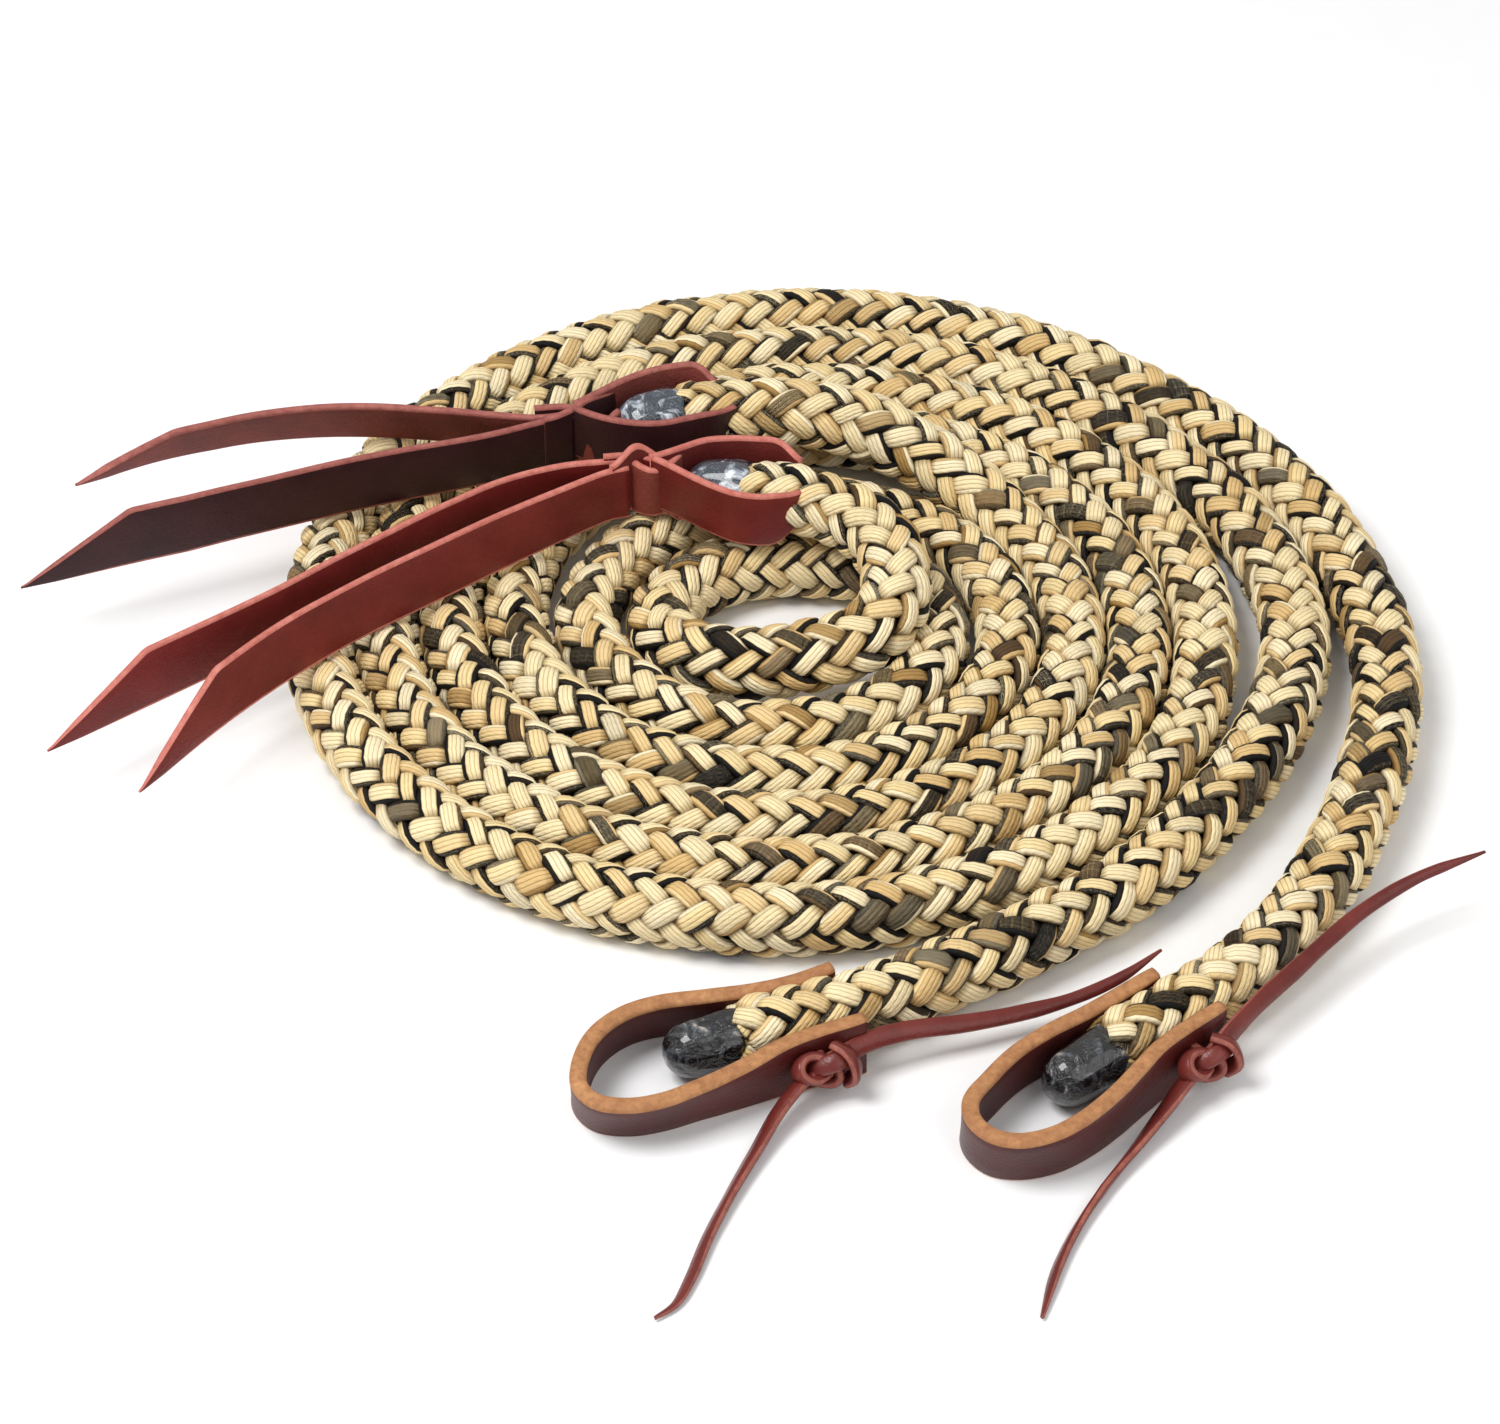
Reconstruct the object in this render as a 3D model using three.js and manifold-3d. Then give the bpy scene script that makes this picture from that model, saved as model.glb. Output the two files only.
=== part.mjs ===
// A pair of braided split reins with leather ends, laid down together as one flat two-strand coil.
// Millimetres. +Z is up, and the coil lies on z = 0. Each rein runs from its bit loop, round the coil
// from the outside inwards, and up onto the coil to its popper.
import * as THREE from 'three';
import { mergeVertices } from 'three/addons/utils/BufferGeometryUtils.js';
import Module from 'manifold-3d';

const wasm = await Module();
wasm.setup();

// Driving dimensions
const ROPE_DIAMETER = 19;
const ROPE_WIDTH = 16.6; // across the rope where it is squeezed in the coil and under the straps
const STRAND_PITCH = 17; // between neighbouring strands of the coil
const LOOSE_PITCH = 18; // between the innermost turns, which are not squeezed
const GAP = 0.3; // between touching pieces
const STRAP_WIDTH = 16; // both leather straps stand on edge, so this is their height
const LOOP_LEATHER = 4.5; // thickness of the bit-loop strap
const POPPER_LEATHER = 2.4; // thickness of the popper strap
const LACE_WIDTH = 4.5;
const LACE_LEATHER = 2;
const TONGUE_WIDTH = 8; // the popper strap narrows to this where it passes through the rope
const TIP_DIAMETER = 16; // dipped rope tips

// Places
const SHIFT = [3.35, 14.37]; // moves the whole model so that its box is centred on x = y = 0
const COIL_CENTRE = [11.4, 36];
const OUTER_RADIUS = 139.5; // of rein A's centreline where it passes the +X side, turns counted inwards
const UPPER_Z = ROPE_DIAMETER * 1.5 + 0.5; // rope centreline where it lies on the coil
const LOWER_Z = ROPE_DIAMETER / 2;
const POPPER_Z = ROPE_DIAMETER + 0.4; // lower edge of the popper straps
const TURN_STEP = 15; // degrees between the points of a coil turn

const colours = {
  rope: { color: 0xd9c08c, roughness: 0.85, metalness: 0 },
  tip: { color: 0x191b1c, roughness: 0.3, metalness: 0 },
  loop: { color: 0x5c2a22, roughness: 0.45, metalness: 0 },
  lace: { color: 0x6a2a26, roughness: 0.45, metalness: 0 },
  popper_a: { color: 0x4a1f1f, roughness: 0.5, metalness: 0 },
  popper_b: { color: 0x742622, roughness: 0.5, metalness: 0 },
};

const reins = new THREE.Group();
reins.position.set(SHIFT[0], SHIFT[1], 0);

function addPiece(name, geometry, look, parent = reins) {
  const mesh = new THREE.Mesh(geometry, new THREE.MeshStandardMaterial(colours[look]));
  mesh.name = name;
  parent.add(mesh);
  return mesh;
}

// Solids
function toSolid(geometry) {
  const bare = geometry.clone();
  bare.deleteAttribute('normal');
  bare.deleteAttribute('uv');
  const merged = mergeVertices(bare, 1e-4);
  return new wasm.Manifold(new wasm.Mesh({
    numProp: 3,
    vertProperties: new Float32Array(merged.attributes.position.array),
    triVerts: new Uint32Array(merged.index.array),
  }));
}

function toGeometry(solid) {
  const mesh = solid.getMesh();
  const geometry = new THREE.BufferGeometry();
  geometry.setAttribute('position', new THREE.BufferAttribute(mesh.vertProperties, 3));
  geometry.setIndex(new THREE.BufferAttribute(mesh.triVerts, 1));
  geometry.computeVertexNormals();
  return geometry;
}

function cut(geometry, ...tools) {
  return toGeometry(tools.reduce((solid, tool) => solid.subtract(toSolid(tool)), toSolid(geometry)));
}

function join(geometry, ...others) {
  return toGeometry(others.reduce((solid, other) => solid.add(toSolid(other)), toSolid(geometry)));
}

function boxAt(size, centre) {
  return new THREE.BoxGeometry(...size).translate(...centre);
}

// A centreline that is sampled evenly between its own points, so that neighbouring turns keep step.
class Route extends THREE.CatmullRomCurve3 {
  getUtoTmapping(u) {
    return u;
  }
}

function pointsToRoute(points) {
  return new Route(points.map((p) => new THREE.Vector3(p[0], p[1], p[2] ?? LOWER_Z)), false, 'centripetal');
}

// The rope's section: twelve sides, flat on top, below and at both sides.
function ropeSection() {
  const shape = new THREE.Shape();
  const reach = 1 / Math.cos(Math.PI / 12);
  for (let i = 0; i < 12; i += 1) {
    const angle = (i + 0.5) * (Math.PI / 6);
    const x = (ROPE_DIAMETER / 2) * reach * Math.cos(angle);
    const y = (ROPE_WIDTH / 2) * reach * Math.sin(angle);
    if (i === 0) shape.moveTo(x, y);
    else shape.lineTo(x, y);
  }
  shape.closePath();
  return shape;
}

function ropeAlong(points) {
  const options = { steps: points.length - 1, bevelEnabled: false, extrudePath: pointsToRoute(points) };
  return new THREE.ExtrudeGeometry(ropeSection(), options);
}

// A strap standing on edge: its centreline in plan, offset to both sides and raised by its width.
function strapOnEdge(points, thickness, height, bottom, samples) {
  const line = new THREE.CatmullRomCurve3(points.map(([x, y]) => new THREE.Vector3(x, y, 0)), false, 'centripetal');
  const left = [];
  const right = [];
  for (let i = 0; i <= samples; i += 1) {
    const point = line.getPointAt(i / samples);
    const tangent = line.getTangentAt(i / samples);
    const side = new THREE.Vector2(-tangent.y, tangent.x).normalize().multiplyScalar(thickness / 2);
    left.push(new THREE.Vector2(point.x + side.x, point.y + side.y));
    right.push(new THREE.Vector2(point.x - side.x, point.y - side.y));
  }
  const outline = new THREE.Shape([...left, ...right.reverse()]);
  const strap = new THREE.ExtrudeGeometry(outline, { depth: height, bevelEnabled: false });
  return strap.translate(0, 0, bottom);
}

function laceAlong(points) {
  const w = LACE_LEATHER / 2;
  const h = LACE_WIDTH / 2;
  const shape = new THREE.Shape([
    new THREE.Vector2(-w, -h),
    new THREE.Vector2(w, -h),
    new THREE.Vector2(w, h),
    new THREE.Vector2(-w, h),
  ]);
  const options = { steps: 2 * (points.length - 1), bevelEnabled: false, extrudePath: pointsToRoute(points) };
  return new THREE.ExtrudeGeometry(shape, options);
}

// Coil turns
const radians = (degrees) => (degrees * Math.PI) / 180;

function radiusA(degrees) {
  return OUTER_RADIUS - (2 * STRAND_PITCH * degrees) / 360;
}

// Rein A leaves the coil in its third turn. From there on rein B lies next to its own last turn.
const A_LEAVES = 740;
const B_ALONE_FROM = 810;
const B_ALONE_FULLY = 900;

function radiusB(degrees) {
  if (degrees <= B_ALONE_FROM) return radiusA(degrees) - STRAND_PITCH;
  if (degrees >= B_ALONE_FULLY) return radiusB(degrees - 360) - LOOSE_PITCH;
  const share = (degrees - B_ALONE_FROM) / (B_ALONE_FULLY - B_ALONE_FROM);
  return THREE.MathUtils.lerp(radiusB(B_ALONE_FROM), radiusB(B_ALONE_FULLY), share);
}

function onTurn(degrees, radius, z = LOWER_Z) {
  return [
    COIL_CENTRE[0] + radius * Math.cos(radians(degrees)),
    COIL_CENTRE[1] + radius * Math.sin(radians(degrees)),
    z,
  ];
}

function turns(radiusOf, from, to) {
  const points = [];
  for (let degrees = from; degrees <= to; degrees += TURN_STEP) points.push(onTurn(degrees, radiusOf(degrees)));
  return points;
}

// Routes: x, y and, where the rope leaves the ground, z. They start at the bit end of the braid.
const BIT_RUN_A = [
  [84, -125], [92, -118.6], [100, -112.2], [108, -105.4], [116, -97.9], [124, -89], [132.5, -77], [140.5, -63],
  [147.2, -48],
];
const ENTRY_A = [
  [153, -31], [157.8, -14], [161, 2], [162, 18], onTurn(0, 149), onTurn(15, 144), onTurn(30, 139.6),
];
const CLIMB_A = [
  onTurn(750, 68.7, 11), onTurn(765, 67.3, 15), onTurn(780, 66, 20.5), onTurn(795, 64.9, 26),
  onTurn(810, 63.9, UPPER_Z), [-2, 99.5, UPPER_Z], [-13, 98.3, UPPER_Z], [-19.8, 96.8, UPPER_Z],
];
const BIT_RUN_B = [
  [-3.4, -119], [5, -116.4], [14, -113.4], [24, -109.4], [36, -103.4], [48, -96.8], [60, -89.6], [72, -81.6],
  [84, -72.6], [95, -62.8],
];
const ENTRY_B = [
  [105, -51.5], [114, -39], [122.5, -25.5], [129.6, -11.5], [135.2, 3], [138.8, 19], onTurn(0, 128.6),
  onTurn(15, 125.2), onTurn(30, 121.4),
];
const CLIMB_B = [
  [40.4, 52.2], [33, 57], [23.5, 59.6], [13, 60.2], [3, 59.4], [-7, 56.4], [-15.6, 50.6], [-21, 42.4],
  [-22.6, 33.4, 9.8], [-19.8, 24, 11.2], [-12, 16.4, 13.4], [-1.5, 12.6, 15.4], [10, 11.8, 17.2],
  [21.5, 13.6, 18.8], [31.4, 19, 20.2], [36.8, 28.6, 22], [37.2, 39.4, 24], [33.2, 49.4, 26],
  [25.4, 57, 28], [15.4, 61.2, UPPER_Z], [5, 63.5, UPPER_Z], [-1.7, 64.9, UPPER_Z],
];
const A_COILS_FROM = 45;
const B_COILS_FROM = 45;
const B_COILS_TO = 1095;

// Each rein's two ends, as the place and heading (degrees) of a frame whose u axis runs out of the rope.
const BIT_FRAME_A = { place: [97, -114.6], heading: 218.6 };
const BIT_FRAME_B = { place: [11, -114.5], heading: 197.5 };
const POPPER_FRAME_A = { place: [-13, 98.3], heading: 192.6 };
const POPPER_FRAME_B = { place: [5, 63.5], heading: 167.5 };

function frameGroup({ place, heading }) {
  const group = new THREE.Group();
  group.position.set(place[0], place[1], 0);
  group.rotation.z = radians(heading);
  reins.add(group);
  return group;
}

// A geometry made in an end's frame, brought into the model's own frame for a cut.
function inModel(geometry, { place, heading }) {
  return geometry.clone().rotateZ(radians(heading)).translate(place[0], place[1], 0);
}

// Dipped rope tip: a short rounded cap that closes the end of the braid. It lies along u from start.
function dippedTip(start, length, z) {
  const r = TIP_DIAMETER / 2;
  const profile = [[0, 0], [r, 0], [r, 0.5], [0.96 * r, 0.68], [0.84 * r, 0.82], [0.62 * r, 0.93], [0, 1]];
  const points = profile.map(([radius, share]) => new THREE.Vector2(radius, share * length));
  return new THREE.LatheGeometry(points, 16).rotateZ(-Math.PI / 2).translate(start, 0, z);
}

// Bit loop: a strap folded round on itself, its two legs on both sides of the rope.
const LEG = ROPE_WIDTH / 2 + GAP + LOOP_LEATHER / 2;
const LOOP_LINE = [
  [-13, LEG + 0.5], [-4, LEG], [4, LEG + 0.6], [14, 14.6], [26, 18.6], [38, 20.4], [48, 18.6], [55, 13],
  [58, 5], [56, -3], [49.5, -9], [40, -12], [28, -12.2], [16, -LEG - 0.5], [6, -LEG], [-3, -LEG - 0.2], [-12, -LEG - 1.3],
];
const LOOP_SAMPLES = 40;
const LACE_Z = 9;

function laceHole() {
  const size = [LACE_LEATHER + 2 * GAP, 4 * LEG, LACE_WIDTH + 2 * GAP];
  return boxAt(size, [0, 0, LACE_Z]);
}

function bitLoop() {
  return cut(strapOnEdge(LOOP_LINE, LOOP_LEATHER, STRAP_WIDTH, 0, LOOP_SAMPLES), laceHole());
}

// Lace: a flat head behind the far leg, a shank through strap, rope and strap, and the knot.
const OUTER_FACE = LEG + LOOP_LEATHER / 2;
const KNOT_RADIUS = 5;
const KNOT_V = OUTER_FACE + GAP + KNOT_RADIUS;

function laceKnot() {
  const head = boxAt([7, LACE_LEATHER, 6], [0, -OUTER_FACE - GAP - LACE_LEATHER / 2, LACE_Z]);
  const shankLength = OUTER_FACE + GAP + LACE_LEATHER / 2 + KNOT_V;
  const shank = boxAt(
    [LACE_LEATHER, shankLength, LACE_WIDTH],
    [0, KNOT_V - shankLength / 2, LACE_Z],
  );
  const profile = [[0, -6], [3.4, -5.2], [KNOT_RADIUS, -2.4], [KNOT_RADIUS, 2.4], [3.4, 5.2], [0, 6]];
  const knot = new THREE.LatheGeometry(profile.map(([r, z]) => new THREE.Vector2(r, z)), 16);
  knot.rotateX(Math.PI / 2).translate(0, KNOT_V, LACE_Z);
  return join(head, shank, knot);
}

// Popper eye: two curved legs round the rope's tip, joined by a narrow tongue through the rope.
const EYE_SIDE = ROPE_WIDTH / 2 + 3 * GAP + POPPER_LEATHER / 2;
const EYE_LINE = [
  [-POPPER_LEATHER / 2, EYE_SIDE], [6, EYE_SIDE + 0.6], [13, 10.6], [19, 8.4], [24, 5.2], [28.5, 1.6],
];
const TONGUE_Z = UPPER_Z;

function tongueHole() {
  const size = [POPPER_LEATHER + 2 * GAP, 4 * EYE_SIDE, TONGUE_WIDTH + 2 * GAP];
  return boxAt(size, [0, 0, TONGUE_Z]);
}

function popperEye() {
  const near = strapOnEdge(EYE_LINE, POPPER_LEATHER, STRAP_WIDTH, POPPER_Z, 10);
  const far = strapOnEdge(EYE_LINE.map(([u, v]) => [u, -v]), POPPER_LEATHER, STRAP_WIDTH, POPPER_Z, 10);
  const tongue = boxAt([POPPER_LEATHER, 2 * EYE_SIDE, TONGUE_WIDTH], [0, 0, TONGUE_Z]);
  return join(near, far, tongue);
}

// Popper knot: where one half of the strap passes through a slit in the other, a rounded block.
const KNOT_START = 29.8;
const PIVOT_U = 38; // the tails hinge about a vertical line here
const POPPER_KNOT_HALF = 3.6;

function popperKnot() {
  const outline = new THREE.Shape();
  outline.moveTo(KNOT_START, -POPPER_KNOT_HALF);
  outline.lineTo(PIVOT_U, -POPPER_KNOT_HALF);
  outline.absarc(PIVOT_U, 0, POPPER_KNOT_HALF, -Math.PI / 2, Math.PI / 2, false);
  outline.lineTo(KNOT_START, POPPER_KNOT_HALF);
  outline.closePath();
  const knot = new THREE.ExtrudeGeometry(outline, { depth: STRAP_WIDTH, bevelEnabled: false, curveSegments: 8 });
  return knot.translate(0, 0, POPPER_Z);
}

// Popper tail: a strap on edge whose end is cut on a slant, from its upper edge down to a point.
const POINT_LENGTH = 27;

function popperTail(points) {
  const strap = strapOnEdge(points, POPPER_LEATHER, STRAP_WIDTH, POPPER_Z, 16);
  const [before, end] = points.slice(-2);
  const heading = Math.atan2(end[1] - before[1], end[0] - before[0]);
  const slant = new THREE.Shape([
    new THREE.Vector2(-POINT_LENGTH, STRAP_WIDTH),
    new THREE.Vector2(1, 0.6),
    new THREE.Vector2(8, 0.6),
    new THREE.Vector2(8, STRAP_WIDTH + 8),
    new THREE.Vector2(-POINT_LENGTH, STRAP_WIDTH + 8),
  ]);
  const wedge = new THREE.ExtrudeGeometry(slant, { depth: 40, bevelEnabled: false });
  wedge.rotateX(Math.PI / 2).translate(0, 20, POPPER_Z).rotateZ(heading).translate(end[0], end[1], 0);
  return cut(strap, wedge);
}

const TAILS = {
  rein_a_popper_tail_upper: [
    [-55.2, 91.5], [-66, 94.6], [-80, 97.2], [-97, 98.8], [-113, 98.8], [-129, 96.6], [-144, 92.2], [-157, 87],
    [-167, 82], [-177, 76],
  ],
  rein_a_popper_tail_lower: [[-54.6, 87.6], [-66, 83.2], [-86, 76.4], [-106, 69.4], [-126, 61.6], [-150, 52.4], [-187, 38.5]],
  rein_b_popper_tail_upper: [
    [-37.9, 71.7], [-49, 69.6], [-64, 61.8], [-79, 51], [-94, 38.6], [-109, 25.6], [-124, 13], [-145, -3.5], [-174, -26],
  ],
  rein_b_popper_tail_lower: [[-37, 66.6], [-48, 58.6], [-63, 47.6], [-80, 34.6], [-100, 18.6], [-118, 1.4], [-132, -15], [-150, -40]],
};

// Lace tails: one hangs forward from the knot to the ground, one springs back along the rope.
const LACE_TAILS = {
  rein_a_lace_tail_front: [
    [103.4, -134.3, 6.2], [97.5, -141, 4], [90.5, -150.5, 2], [82, -163, 1.2], [75, -176, 1.2], [69.5, -190, 1.2], [66, -203, 1.2],
  ],
  rein_a_lace_tail_back: [
    [114, -123.4, 12.5], [121, -114.5, 14], [127.5, -106, 15], [135, -96.5, 16], [146, -85.5, 17], [162, -76, 18.5],
    [180, -70.5, 20],
  ],
  rein_b_lace_tail_front: [
    [10.8, -135.8, 6.2], [5.5, -142.5, 4], [0.8, -151, 2], [-4, -162, 1.2], [-9, -176, 1.2], [-13.5, -190, 1.2], [-20, -203, 1.2],
  ],
  rein_b_lace_tail_back: [
    [23.6, -130, 9.5], [33, -126, 7.5], [46, -119.5, 5.5], [60, -112.5, 4.5], [74, -106, 5], [86, -99, 8], [97, -91, 12],
  ],
};

// The two ropes, each sawn through where its free end begins to swing.
const ROPES = {
  rein_a: {
    points: [...BIT_RUN_A, ...ENTRY_A, ...turns(radiusA, A_COILS_FROM, A_LEAVES), ...CLIMB_A],
    split: BIT_RUN_A.length,
    bitFrame: BIT_FRAME_A,
    popperFrame: POPPER_FRAME_A,
    leather: 'popper_a',
  },
  rein_b: {
    points: [...BIT_RUN_B, ...ENTRY_B, ...turns(radiusB, B_COILS_FROM, B_COILS_TO), ...CLIMB_B],
    split: BIT_RUN_B.length,
    bitFrame: BIT_FRAME_B,
    popperFrame: POPPER_FRAME_B,
    leather: 'popper_b',
  },
};

function sawSlot(points, index) {
  const [before, at, after] = points.slice(index - 1, index + 2);
  const heading = Math.atan2(after[1] - before[1], after[0] - before[0]);
  const slot = new THREE.BoxGeometry(2 * GAP, 1.2 * ROPE_DIAMETER, 1.2 * ROPE_DIAMETER);
  return slot.rotateZ(heading).translate(at[0], at[1], LOWER_Z);
}

function ropePieces({ points, split, bitFrame, popperFrame }) {
  const slots = [sawSlot(points, split), inModel(laceHole(), bitFrame), inModel(tongueHole(), popperFrame)];
  const rope = slots.reduce((solid, slot) => solid.subtract(toSolid(slot)), toSolid(ropeAlong(points)));
  return rope.decompose().sort((a, b) => b.volume() - a.volume()).map(toGeometry);
}

const BIT_TIP_START = 16.8;
const BIT_TIP_LENGTH = 19;
const POPPER_TIP_START = 7.4;
const POPPER_TIP_LENGTH = 13;

for (const [rein, rope] of Object.entries(ROPES)) {
  const [coil, bitRun] = ropePieces(rope);
  addPiece(`${rein}_rope_coil`, coil, 'rope');
  addPiece(`${rein}_rope_bit_end`, bitRun, 'rope');

  const bitEnd = frameGroup(rope.bitFrame);
  addPiece(`${rein}_bit_tip`, dippedTip(BIT_TIP_START, BIT_TIP_LENGTH, LOWER_Z), 'tip', bitEnd);
  addPiece(`${rein}_bit_loop`, bitLoop(), 'loop', bitEnd);
  addPiece(`${rein}_lace_knot`, laceKnot(), 'lace', bitEnd);

  const popperEnd = frameGroup(rope.popperFrame);
  addPiece(`${rein}_popper_tip`, dippedTip(POPPER_TIP_START, POPPER_TIP_LENGTH, UPPER_Z), 'tip', popperEnd);
  addPiece(`${rein}_popper_eye`, popperEye(), rope.leather, popperEnd);
  addPiece(`${rein}_popper_knot`, popperKnot(), rope.leather, popperEnd);
}

for (const [name, points] of Object.entries(TAILS)) {
  addPiece(name, popperTail(points), name.startsWith('rein_a') ? 'popper_a' : 'popper_b');
}

for (const [name, points] of Object.entries(LACE_TAILS)) {
  addPiece(name, laceAlong(points), 'lace');
}

export default reins;
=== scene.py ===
"""A pair of braided rope split reins with leather bit loops, laces and poppers, coiled together.

The ropes are real sixteen-strand braids built along the routes of the CAD part. The leather is
built as straps standing on edge. Lengths are in millimetres until they are put into a mesh.
"""

import math

import bpy
import numpy as np
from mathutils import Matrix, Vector


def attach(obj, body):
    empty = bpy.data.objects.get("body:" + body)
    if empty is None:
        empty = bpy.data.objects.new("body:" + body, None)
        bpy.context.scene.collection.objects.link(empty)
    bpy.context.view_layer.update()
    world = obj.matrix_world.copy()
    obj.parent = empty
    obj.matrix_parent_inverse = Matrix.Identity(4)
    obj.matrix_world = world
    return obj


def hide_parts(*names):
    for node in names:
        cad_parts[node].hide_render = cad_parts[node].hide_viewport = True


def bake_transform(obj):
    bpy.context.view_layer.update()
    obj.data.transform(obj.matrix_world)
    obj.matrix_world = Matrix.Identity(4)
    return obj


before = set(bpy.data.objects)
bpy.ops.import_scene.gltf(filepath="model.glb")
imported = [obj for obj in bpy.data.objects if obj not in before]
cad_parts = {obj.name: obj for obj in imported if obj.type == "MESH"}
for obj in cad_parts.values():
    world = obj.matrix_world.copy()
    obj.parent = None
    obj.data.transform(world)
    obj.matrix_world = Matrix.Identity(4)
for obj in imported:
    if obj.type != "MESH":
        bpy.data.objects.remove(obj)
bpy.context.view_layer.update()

MM = 0.001

# Driving dimensions, the same as the CAD part's unless they say otherwise
ROPE_DIAMETER = 19.0
STRAND_PITCH = 17.0
LOOSE_PITCH = 18.0
STRAP_WIDTH = 16.0
SHIFT = np.array([3.35, 14.37, 0.0])
COIL_CENTRE = np.array([11.4, 36.0])
OUTER_RADIUS = 139.5
POPPER_LEATHER = 1.9  # the CAD strap is 2.4 thick; the photograph shows it thinner
LOWER_Z = ROPE_DIAMETER / 2
UPPER_Z = ROPE_DIAMETER * 1.5 + 0.5
POPPER_Z = ROPE_DIAMETER + 0.4

# Degrees along the spiral: between two points of a route, where each rope leaves it for its climb,
# and the stretch over which rein B closes up because rein A is no longer beside it
TURN_STEP = 15
A_LEAVES = 740
B_LEAVES = 1095
B_ALONE_FROM = 810
B_ALONE_FULLY = 900


# Camera: the photograph's viewing angle
CAMERA_TARGET = np.array([0.0, 0.0, LOWER_Z]) + SHIFT
CAMERA_DISTANCE = 1425.0
CAMERA_ELEVATION = math.radians(40)
FOCAL_LENGTH = 135.4


def add_camera():
    data = bpy.data.cameras.new("camera")
    data.sensor_width = 36
    data.lens = FOCAL_LENGTH
    camera = bpy.data.objects.new("camera", data)
    bpy.context.scene.collection.objects.link(camera)
    back = np.array([0, -math.cos(CAMERA_ELEVATION), math.sin(CAMERA_ELEVATION)])
    camera.location = Vector((CAMERA_TARGET + back * CAMERA_DISTANCE) * MM)
    camera.rotation_euler = (math.pi / 2 - CAMERA_ELEVATION, 0, 0)
    bpy.context.scene.camera = camera


add_camera()


# Routes
def radius_a(degrees):
    return OUTER_RADIUS - 2 * STRAND_PITCH * degrees / 360


def radius_b(degrees):
    if degrees <= B_ALONE_FROM:
        return radius_a(degrees) - STRAND_PITCH
    if degrees >= B_ALONE_FULLY:
        return radius_b(degrees - 360) - LOOSE_PITCH
    share = (degrees - B_ALONE_FROM) / (B_ALONE_FULLY - B_ALONE_FROM)
    return (1 - share) * radius_b(B_ALONE_FROM) + share * radius_b(B_ALONE_FULLY)


def on_turn(degrees, radius, z=LOWER_Z):
    angle = math.radians(degrees)
    return (
        COIL_CENTRE[0] + radius * math.cos(angle),
        COIL_CENTRE[1] + radius * math.sin(angle),
        z,
    )


def turns(radius_of, first, last):
    return [on_turn(d, radius_of(d)) for d in range(first, last + 1, TURN_STEP)]


# From the bit end to the coil, onto its outer turn, and from its inner turn up onto the others
BIT_RUN_A = [
    (84, -125), (92, -118.6), (100, -112.2), (108, -105.4), (116, -97.9), (124, -89),
    (132.5, -77), (140.5, -63), (147.2, -48),
]
ENTRY_A = [
    (153, -31), (157.8, -14), (161, 2), (162, 18), on_turn(0, 149), on_turn(15, 144),
    on_turn(30, 139.6),
]
CLIMB_A = [
    on_turn(750, 68.7, 11), on_turn(765, 67.3, 15), on_turn(780, 66, 20.5),
    on_turn(795, 64.9, 26), on_turn(810, 63.9, UPPER_Z), (-2, 99.5, UPPER_Z),
    (-13, 98.3, UPPER_Z), (-19.8, 96.8, UPPER_Z),
]
BIT_RUN_B = [
    (-3.4, -119), (5, -116.4), (14, -113.4), (24, -109.4), (36, -103.4), (48, -96.8),
    (60, -89.6), (72, -81.6), (84, -72.6), (95, -62.8),
]
ENTRY_B = [
    (105, -51.5), (114, -39), (122.5, -25.5), (129.6, -11.5), (135.2, 3), (138.8, 19),
    on_turn(0, 128.6), on_turn(15, 125.2), on_turn(30, 121.4),
]
CLIMB_B = [
    (40.4, 52.2), (33, 57), (23.5, 59.6), (13, 60.2), (3, 59.4), (-7, 56.4), (-15.6, 50.6), (-21, 42.4),
    (-22.6, 33.4, 9.8), (-19.8, 24, 11.2), (-12, 16.4, 13.4), (-1.5, 12.6, 15.4), (10, 11.8, 17.2),
    (21.5, 13.6, 18.8), (31.4, 19, 20.2), (36.8, 28.6, 22), (37.2, 39.4, 24), (33.2, 49.4, 26),
    (25.4, 57, 28), (15.4, 61.2, UPPER_Z), (5, 63.5, UPPER_Z), (-1.7, 64.9, UPPER_Z),
]
ROUTE_A = [*BIT_RUN_A, *ENTRY_A, *turns(radius_a, 45, A_LEAVES), *CLIMB_A]
ROUTE_B = [*BIT_RUN_B, *ENTRY_B, *turns(radius_b, 45, B_LEAVES), *CLIMB_B]

# Each rein's two ends: a place and a heading in degrees. The u axis runs out of the rope.
BIT_FRAMES = {"rein_a": ((97, -114.6), 218.6), "rein_b": ((11, -114.5), 197.5)}
POPPER_FRAMES = {"rein_a": ((-13, 98.3), 192.6), "rein_b": ((5, 63.5), 167.5)}


def in_3d(points):
    """Route points as an array. A point without a height lies on the floor's layer of rope."""
    return np.array([(p[0], p[1], p[2] if len(p) > 2 else LOWER_Z) for p in points], float)


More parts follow.
